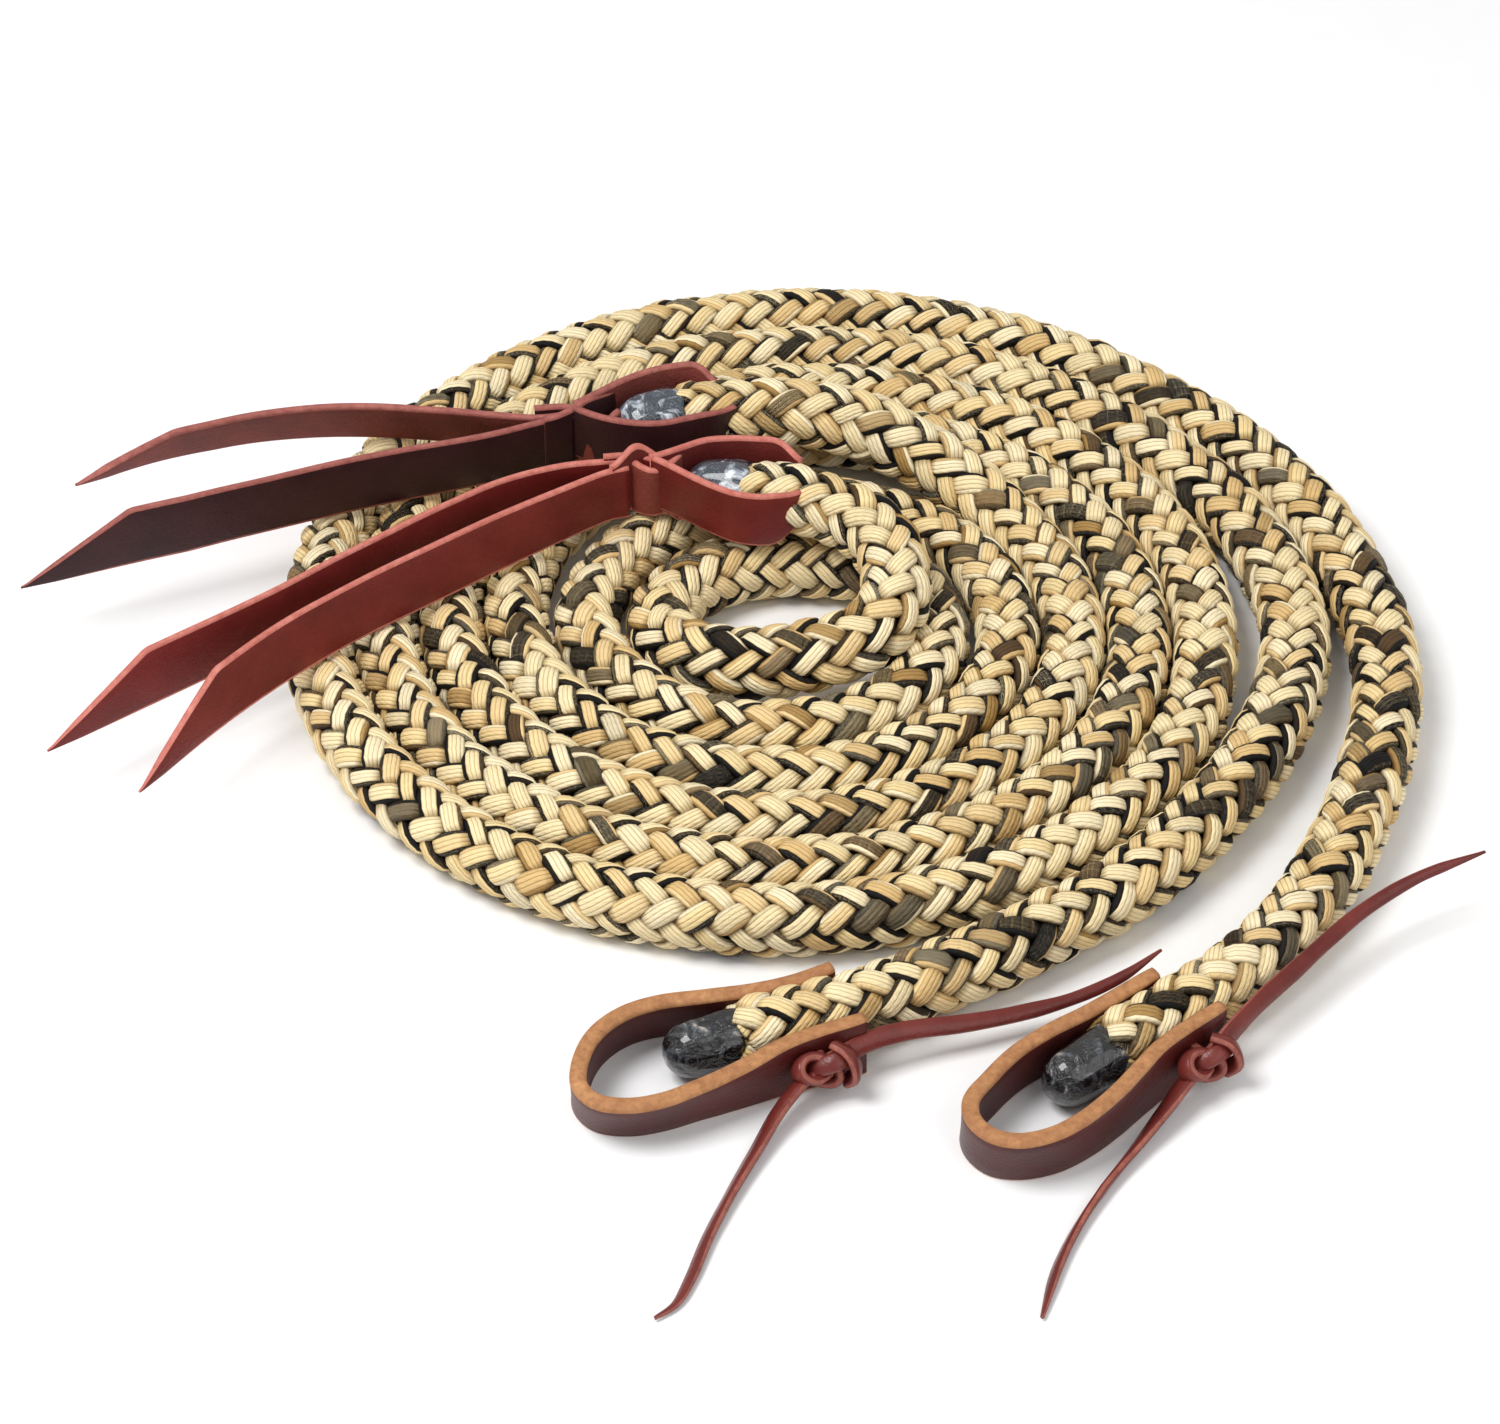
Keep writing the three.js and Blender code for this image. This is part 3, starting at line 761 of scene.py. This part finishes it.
def add_tip(name, body, node, material, z, u_from, u_to, half_wide, half_high, seed):
    """A tip from u_from to u_to of its rein end's frame, ragged where it meets the braid."""
    end = (BIT_FRAMES if "bit_tip" in node else POPPER_FRAMES)[node[:6]]
    along = np.linspace(0, 1, TIP_RINGS)
    angle = np.arange(TIP_SIDES) * 2 * math.pi / TIP_SIDES
    run = u_to - u_from
    nose = np.clip((along * run - (run - NOSE_LENGTH)) / NOSE_LENGTH, 0, 1)
    radius = np.sqrt(np.maximum(1 - nose**2.3, 0)) * (0.97 + 0.03 * np.sin(along * 9))
    random = np.random.default_rng(seed)
    folds = sum(
        random.uniform(0.008, 0.022)
        * np.cos(k * angle[None, :] + random.uniform(0, 6) + 2.2 * along[:, None])
        for k in (3, 5, 7, 9, 12)
    )
    radius = radius[:, None] * (1 + folds * (1 - 0.6 * nose[:, None]))
    vertices = []
    for i, t in enumerate(along):
        for j, a in enumerate(angle):
            v = radius[i, j] * half_wide * math.cos(a)
            h = radius[i, j] * half_high * math.sin(a)
            ragged = 1.3 * (1 - t) ** 4 * math.sin(3 * a + seed) + 0.8 * (1 - t) ** 4 * math.sin(7 * a)
            vertices.append(out_of_frame(end, u_from + ragged + t * run, v, max(z + h, 0.2)))
    vertices = np.array(vertices)
    tip = make_mesh(name, vertices, flipped(tube_faces(TIP_RINGS, TIP_SIDES)), [material])
    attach(tip, body)
    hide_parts(node)


def flipped(faces):
    return [face[::-1] for face in faces]


# Laces: narrow bands
BAND_SECTION = [
    (1.0, -0.5), (1.0, 0.5), (0.8, 0.95), (0.0, 1.05), (-0.8, 0.95), (-1.0, 0.5), (-1.0, -0.5), (-0.8, -0.95),
    (0.0, -1.0), (0.8, -0.95),
]


def band_mesh(line, normal, width, thickness):
    """A flat band along a line, facing normal. Its narrow sides are cut edges."""
    along = tangents(line)
    across = unit(np.cross(normal, along))
    out = np.cross(along, across)
    section = np.array(BAND_SECTION)
    vertices = (
        line[:, None, :]
        + (0.5 * width[:, None] * section[:, 0])[:, :, None] * across[:, None, :]
        + (0.5 * thickness[:, None] * section[:, 1])[:, :, None] * out[:, None, :]
    )
    rings, sides = len(line), len(section)
    kinds = [EDGE] + [FACE] * 4 + [EDGE] + [FACE] * 4
    surfaces = kinds * (rings - 1) + [EDGE, EDGE]
    vertices[:, :, 2] = np.maximum(vertices[:, :, 2], 0.12)
    return vertices.reshape(-1, 3), tube_faces(rings, sides), surfaces


def rolled_normals(line, roll):
    """Normals turned about the line from straight up, by the angles given."""
    along = tangents(line)
    side = unit(np.cross(along, np.array([0.0, 0.0, 1.0])))
    up = np.cross(side, along)
    return np.cos(roll)[:, None] * up + np.sin(roll)[:, None] * side


LACE_LINES = {
    "rein_a": {
        "front": [
            (106, -128.5, 8.5), (102.6, -132.4, 7.6), (97.8, -139, 5.5), (91, -148.5, 3), (83, -160.5, 1.8),
            (75.6, -174, 1.5), (70, -188, 1.4), (66, -203, 1.2),
        ],
        "back": [
            (107.5, -127, 9.5), (110.4, -123.5, 10), (115, -117.4, 11), (121.6, -109.2, 12),
            (129.4, -100.4, 12.6), (137.8, -90.6, 13.2), (148, -80, 14.2), (161.5, -70.6, 16.2),
            (178.6, -63.4, 18.4),
        ],
        "front_roll": (20, 75, 35),
        "back_roll": (70, 35, 60),
    },
    "rein_b": {
        "front": [
            (15.5, -130, 8.5), (11.8, -133.4, 7.4), (6.6, -140.5, 5), (1.8, -150, 2.8), (-4, -163, 1.8),
            (-9.5, -177.5, 1.5), (-13.6, -191, 1.3), (-17, -199, 1.2), (-21.5, -203.2, 1.2),
        ],
        "back": [
            (18, -128.6, 9.6), (22.4, -125.8, 10), (29, -121.2, 10.2), (38, -117, 9.4), (50, -113.4, 8),
            (63, -109, 7), (77, -104, 7.4), (89, -98.4, 9.4), (98.6, -92, 12.2),
        ],
        "front_roll": (30, 55, 20),
        "back_roll": (60, 30, 50),
    },
}


def add_lace_tails(rein, seed):
    facts = LACE_LINES[rein]
    for k, part in enumerate(("front", "back")):
        line = smooth_line(facts[part], 1.0)
        s = lengths_along(line)
        share = s / s[-1]
        roll = np.radians(np.interp(share, [0, 0.5, 1], facts[f"{part}_roll"]))
        width = np.interp(share, [0, 0.08, 0.5, 0.88, 1], [4.2, 4.8, 4.0, 2.6, 0.7])
        width = width * (1 + wavy(s, seed + k, 0.07, 9))
        thickness = np.interp(share, [0, 0.8, 1], [2.2, 1.8, 0.9])
        band = band_mesh(line, rolled_normals(line, roll), width, thickness)
        leather_piece(
            f"{rein}_lace_end_{part}", f"{rein}_lace_{part}", f"{rein}_lace_tail_{part}", [band],
            [LACE, LACE_EDGE, LACE],
        )


def add_lace_knot(rein, centre, heading, seed):
    """An overhand knot pulled tight against the strap, and the stub of lace that goes in through it."""
    t = np.linspace(0, 2 * math.pi, 190)
    u = (np.sin(t) + 2 * np.sin(2 * t)) * 2.5
    w = (np.cos(t) - 2 * np.cos(2 * t)) * 1.35
    v = -np.sin(3 * t) * 1.9
    a = math.radians(heading)
    along = np.array([math.cos(a), math.sin(a), 0.0])
    outward = np.array([math.sin(a), -math.cos(a), 0.0])
    up = np.array([0.0, 0.0, 1.0])
    middle = np.array(centre)
    line = middle + u[:, None] * along + v[:, None] * outward + w[:, None] * up
    normal = unit(line - middle)
    width = 4.4 * (1 + wavy(lengths_along(line), seed, 0.08, 8))
    knot = band_mesh(line, normal, width, np.full(len(t), 2.3))
    stub = smooth_line([middle - outward * k for k in (0, 3, 6, 9)], 1.0)
    shank = band_mesh(stub, np.tile(along, (len(stub), 1)), np.full(len(stub), 5.0), np.full(len(stub), 3.2))
    wrap = smooth_line(
        [
            middle + along * 5.5 + outward * 1.5 - up * 4.6,
            middle + along * 6.6 + outward * 4.4 - up * 0.5,
            middle + along * 5.6 + outward * 2.6 + up * 4.2,
            middle + along * 3.0 - outward * 1.5 + up * 5.0,
        ],
        0.8,
    )
    band = band_mesh(wrap, unit(wrap - middle), np.full(len(wrap), 4.4), np.full(len(wrap), 2.1))
    leather_piece(
        f"{rein}_lace_overhand", f"{rein}_bit_end", f"{rein}_lace_knot", [knot, shank, band],
        [LACE, LACE_EDGE, LACE],
    )


# Poppers: an eye of two strap legs, the slit knot, and two tails on edge
EYE_LINES = {
    "rein_a": {
        "front": [
            (-4, 93.5, 0), (-9.5, 88.8, 0), (-16, 86.2, 0), (-24, 84.4, 2), (-32, 85.2, 3), (-39, 87.4, 3),
            (-44, 89.8, 2), (-46, 90.8, 0),
        ],
        "back": [
            (-8.5, 103.5, 0), (-14, 108.4, -4), (-20.5, 108.4, -2), (-28, 106, 0), (-34.5, 101.8, 0),
            (-40, 97.2, 0), (-44, 93.9, 0), (-46, 92.5, 0),
        ],
    },
    "rein_b": {
        "front": [
            (14.5, 58, 0), (9.5, 54.2, 0), (3.4, 52.6, 0), (-3.4, 53.8, 0), (-10, 58, 2), (-16, 62.8, 3),
            (-21.5, 67, 2), (-25, 69, 0),
        ],
        "back": [
            (13, 70.5, 0), (8, 75, -4), (2, 76.6, -2), (-5, 77.4, 0), (-11.5, 76.6, 0), (-17.4, 73.6, 0),
            (-23, 70.6, 0), (-26, 69.4, 0),
        ],
    },
}
# The straps that cross in each knot: points, how far the middle rises, and whether the flesh side shows
KNOT_STRAPS = {
    "rein_a": [
        ([(-36, 100.6), (-39.4, 97.4), (-43, 94), (-46, 90.9), (-49.6, 89), (-54, 87.6)], 1.6, False),
        ([(-38, 87), (-43, 89.6), (-47.5, 92.2), (-52, 92.6), (-56.5, 92.3)], 0.4, False),
        ([(-34.4, 90.6), (-37.4, 88), (-41.4, 88.2), (-44.6, 90.4)], -1.6, True),
    ],
    "rein_b": [
        (
            [(-17.8, 73.7), (-19.8, 71.2), (-22.4, 68.7), (-25.4, 67.3), (-28.4, 68.2), (-30.6, 70)],
            -1.4, True,
        ),
        ([(-36, 66.8), (-32.6, 68.7), (-29, 70.6), (-25.6, 71.2), (-22.8, 70)], 4.2, False),
        ([(-18, 64.4), (-22, 67.8), (-26, 70.4), (-31, 71.6), (-38, 71)], 0.0, False),
    ],
}
TAIL_LINES = {
    "rein_a_tail_upper": [
        (-49, 91.4, 4), (-56, 92.2, 14), (-66, 94.6, 21), (-80, 97.2, 24), (-97, 98.8, 25),
        (-113, 98.8, 26), (-129, 96.6, 28), (-144, 92.2, 31), (-157, 87, 33), (-167, 82, 34),
        (-177, 76, 34),
    ],
    "rein_a_tail_lower": [
        (-46.5, 90.4, 0), (-54.6, 87.6, 0), (-66, 83.2, 0), (-86, 76.4, -2), (-106, 69.4, -3),
        (-126, 61.6, -4), (-150, 52.4, -6), (-187, 38.5, -8),
    ],
    "rein_b_tail_upper": [
        (-30, 71.4, 0), (-37.9, 70.8, 0), (-49, 68.4, -2), (-64, 61.8, -4), (-79, 51, -6), (-94, 38.6, -8),
        (-109, 25.6, -10), (-124, 13, -10), (-145, -3.5, -10), (-174, -26, -10),
    ],
    "rein_b_tail_lower": [
        (-31.5, 67.8, 0), (-37, 66, 0), (-48, 58.6, -4), (-63, 47.6, -9), (-80, 34.6, -13),
        (-100, 18.6, -16), (-118, 1.4, -18), (-132, -15, -19), (-150, -40, -20),
    ],
}
POINT_LENGTH = 30.0
EYE_Z = POPPER_Z + 2.6


def popper_materials(rein):
    """The surfaces of a strap led away from the rope: towards the front, cut edges, and towards the back."""
    if rein == "rein_a":
        return [POPPER_A, POPPER_EDGE_A, POPPER_A_BACK]
    return [POPPER_B, POPPER_EDGE_B, POPPER_B_BACK]


def turned(part):
    """The same strap with its two faces changed over."""
    vertices, faces, surfaces = part
    return vertices, faces, [{FACE: BACK, EDGE: EDGE, BACK: FACE}[kind] for kind in surfaces]


def add_tail(body, seed):
    """A popper tail: a strap on edge, cut on a slant to a point along its last POINT_LENGTH."""
    rein = body[:6]
    dense = smooth_line(TAIL_LINES[body], 1.4)
    lean = np.radians(dense[:, 2])
    line = dense.copy()
    line[:, 1] += 0.5 * STRAP_WIDTH * np.sin(lean)
    s = lengths_along(dense)
    line[:, 2] = POPPER_Z + 0.1 + np.abs(wavy(s, seed + 3, 0.3, 30))
    left = s[-1] - s
    height = STRAP_WIDTH * np.clip(left / POINT_LENGTH, 0.02, 1) * (1 + wavy(s, seed, 0.015))
    thickness = POPPER_LEATHER * (1 + wavy(s, seed + 1, 0.05)) * np.clip(0.35 + left / 14, 0, 1)
    strap = strap_mesh(line, lean + np.radians(wavy(s, seed + 2, 1.5, 30)), thickness, height)
    if body == "rein_a_tail_upper":
        strap = turned(strap)
    leather_piece(
        f"{body}_strap", body, body.replace("tail", "popper_tail"), [strap],
        popper_materials(rein),
    )


TONGUE_LENGTH = 11


def short_strap(points, z, seed, rise=0.0, tongue=False):
    """A short strap on edge. It can rise in the middle, and can narrow to a tongue where it starts."""
    dense = smooth_line(points, 1.0)
    lean = np.radians(dense[:, 2])
    line = dense.copy()
    s = lengths_along(dense)
    line[:, 2] = z
    tall = STRAP_WIDTH + rise * np.sin(math.pi * s / s[-1]) ** 2
    if tongue:
        narrowing = 1 - np.clip(s / TONGUE_LENGTH, 0, 1)
        narrowing = narrowing * narrowing * (3 - 2 * narrowing)
        tall = tall * (1 - 0.5 * narrowing)
        line[:, 2] = z + 0.38 * STRAP_WIDTH * narrowing
    return strap_mesh(line, lean, POPPER_LEATHER * (1 + wavy(s, seed, 0.05)), tall)


def add_eye(rein, seed):
    legs = EYE_LINES[rein]
    front = short_strap(legs["front"], EYE_Z, seed, tongue=True)
    back = short_strap(legs["back"], EYE_Z, seed + 1, tongue=True)
    leather_piece(
        f"{rein}_popper_eye_strap", "coil", f"{rein}_popper_eye",
        [front, turned(back)], popper_materials(rein),
    )


def add_popper_knot(rein, seed):
    """The strap pulled through its own slit: short lengths of strap that cross at the middle."""
    straps = []
    for k, (points, rise, flesh) in enumerate(KNOT_STRAPS[rein]):
        level = [(x, y, 0) for x, y in points]
        vertices, faces, surfaces = short_strap(level, POPPER_Z + 0.9 + 0.3 * k, seed + k, rise)
        if flesh:
            surfaces = [FLESH if kind == FACE else kind for kind in surfaces]
        straps.append((vertices, faces, surfaces))
    leather_piece(
        f"{rein}_popper_slit_knot", "coil", f"{rein}_popper_knot",
        straps, [*popper_materials(rein), POPPER_FLESH],
    )


add_bit_loop("rein_a", 11)
add_bit_loop("rein_b", 23)
BIT_TIP_Z = LOWER_Z - 1.2
add_tip("rein_a_bit_tip_dip", "rein_a_bit_end", "rein_a_bit_tip", BIT_DIP, BIT_TIP_Z, 14.2, 35.0, 7.1, 7.9, 5)
add_tip("rein_b_bit_tip_dip", "rein_b_bit_end", "rein_b_bit_tip", BIT_DIP, BIT_TIP_Z, 14.2, 33.2, 7.1, 7.9, 6)
add_tip("rein_a_popper_tip_dip", "coil", "rein_a_popper_tip", POPPER_DIP, UPPER_Z, 5.8, 23.0, 8.0, 8.6, 7)
add_tip("rein_b_popper_tip_dip", "coil", "rein_b_popper_tip", POPPER_DIP, UPPER_Z, 5.8, 22.4, 8.0, 8.6, 8)
# Each lace knot's centre, the direction of the strap behind it in degrees, and its random seed
LACE_KNOTS = {"rein_a": ((107.2, -127.6, 9.2), 40, 31), "rein_b": ((17.4, -129.6, 9.2), 22, 37)}
for rein, (centre, heading, seed) in LACE_KNOTS.items():
    add_lace_knot(rein, centre, heading, seed)
    add_lace_tails(rein, seed + 3)
    add_eye(rein, seed + 50)
    add_popper_knot(rein, seed + 60)
for number, body in enumerate(TAIL_LINES):
    add_tail(body, 71 + 5 * number)


# Floor and light
def add_floor():
    size = 4.0
    mesh = bpy.data.meshes.new("floor")
    corners = [(-size, -size, 0), (size, -size, 0), (size, size, 0), (-size, size, 0)]
    mesh.from_pydata(corners, [], [(0, 1, 2, 3)])
    mesh.materials.append(floor_material())
    floor = bpy.data.objects.new("floor", mesh)
    bpy.context.scene.collection.objects.link(floor)


def add_area_light(name, place, target, size, power):
    data = bpy.data.lights.new(name, "AREA")
    data.size = size
    data.energy = power
    light = bpy.data.objects.new(name, data)
    bpy.context.scene.collection.objects.link(light)
    light.location = Vector(place)
    light.rotation_euler = (Vector(target) - Vector(place)).to_track_quat("-Z", "Y").to_euler()


def add_world(strength):
    world = bpy.data.worlds.new("studio")
    world.use_nodes = True
    background = world.node_tree.nodes["Background"]
    background.inputs[0].default_value = (1, 1, 1, 1)
    background.inputs[1].default_value = strength
    bpy.context.scene.world = world


add_floor()
add_world(0.56)
add_area_light("key", (-0.55, -0.25, 1.2), (0, 0, 0), 0.6, 14)
add_area_light("fill", (0.9, -0.9, 0.9), (0, 0, 0), 1.2, 6)
bpy.context.scene.view_settings.view_transform = "Standard"
